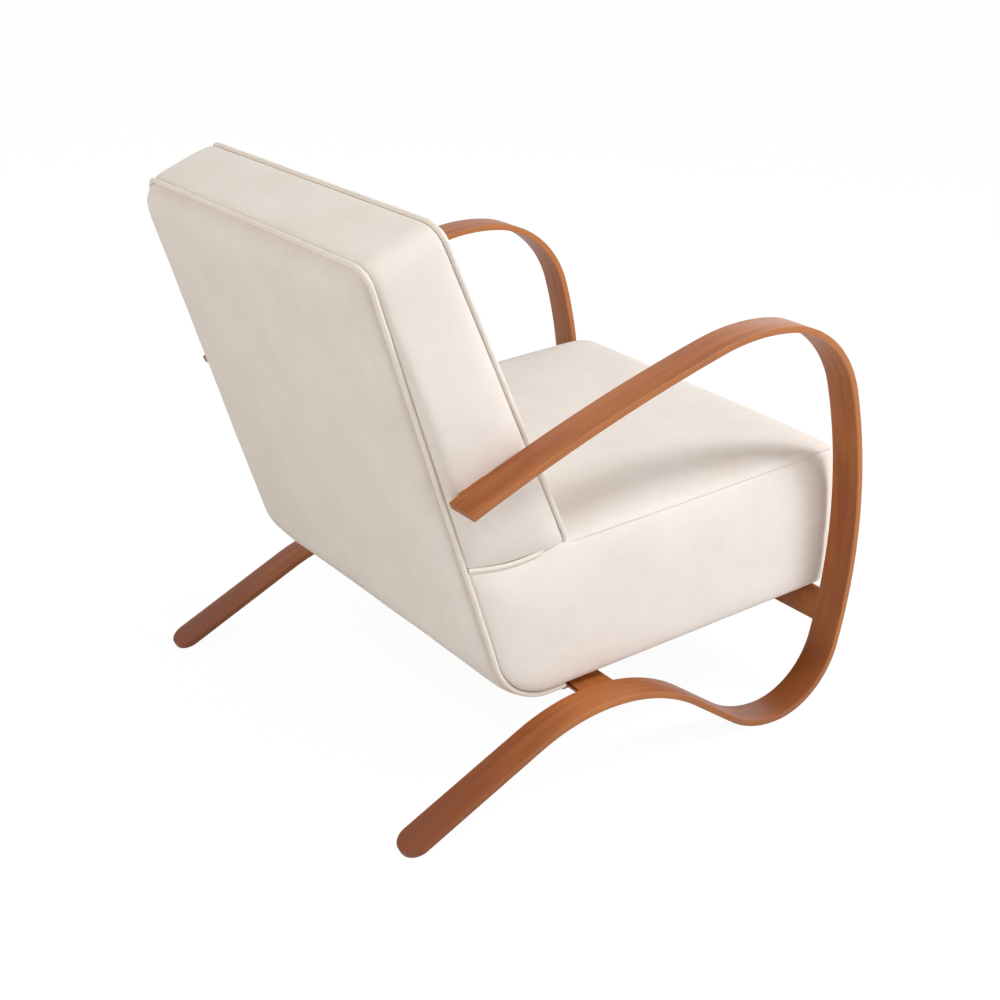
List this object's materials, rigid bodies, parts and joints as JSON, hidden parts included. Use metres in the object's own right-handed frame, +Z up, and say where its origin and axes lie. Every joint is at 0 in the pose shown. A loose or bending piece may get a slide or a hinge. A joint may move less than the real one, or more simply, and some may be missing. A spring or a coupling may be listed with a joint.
{
  "type": "lounge_chair",
  "caption": "Low upholstered lounge chair with a reclined boxed seat and back hung between two continuous bent wood ribbons that form the arms, front loops, humps and rear legs",
  "frame": {"origin": "centre of the bounding box at floor level", "axes": "+Z up, the sitter looks towards -Y, +X is the sitter's left"},
  "size_m": [0.686, 0.797, 0.7738],
  "materials": {
    "stained_wood": "satin",
    "frame_wood": "matte",
    "cover_fabric": "matte",
    "piping_fabric": "matte",
    "plated_steel": "satin",
    "webbing": "matte",
    "padding": "matte",
    "dust_cloth": "matte"
  },
  "bodies": {
    "root": {"right_arm_leg": "stained_wood", "left_arm_leg": "stained_wood", "front_rail": "stained_wood", "front_rail_blocks": "stained_wood", "rear_rail": "stained_wood", "right_arm_block": "stained_wood", "left_arm_block": "stained_wood", "right_arm_plate": "plated_steel", "left_arm_plate": "plated_steel", "arm_plate_screws": "plated_steel", "arm_block_bolts": "plated_steel", "upright_bolts": "plated_steel", "upright_nuts": "plated_steel", "rear_rail_bolts": "plated_steel", "rear_rail_nuts": "plated_steel", "front_rail_screws": "plated_steel", "seat_top_cover": "cover_fabric", "seat_boxing": "cover_fabric", "back_front_cover": "cover_fabric", "back_boxing": "cover_fabric", "rear_cover": "cover_fabric", "rear_piping": "piping_fabric", "back_front_piping": "piping_fabric", "side_seam_piping": "piping_fabric", "right_seat_rail": "frame_wood", "left_seat_rail": "frame_wood", "seat_front_rail": "frame_wood", "seat_rear_rail": "frame_wood", "seat_corner_blocks": "frame_wood", "right_back_upright": "frame_wood", "left_back_upright": "frame_wood", "back_top_rail": "frame_wood", "back_lower_rail": "frame_wood", "seat_webbing_long": "webbing", "seat_webbing_cross": "webbing", "back_webbing_long": "webbing", "back_webbing_cross": "webbing", "seat_core": "padding", "seat_pad": "padding", "seat_edge_pad": "padding", "back_pad": "padding", "back_edge_pad": "padding", "rear_pad": "padding", "dust_cover": "dust_cloth"}
  },
  "joints": []
}
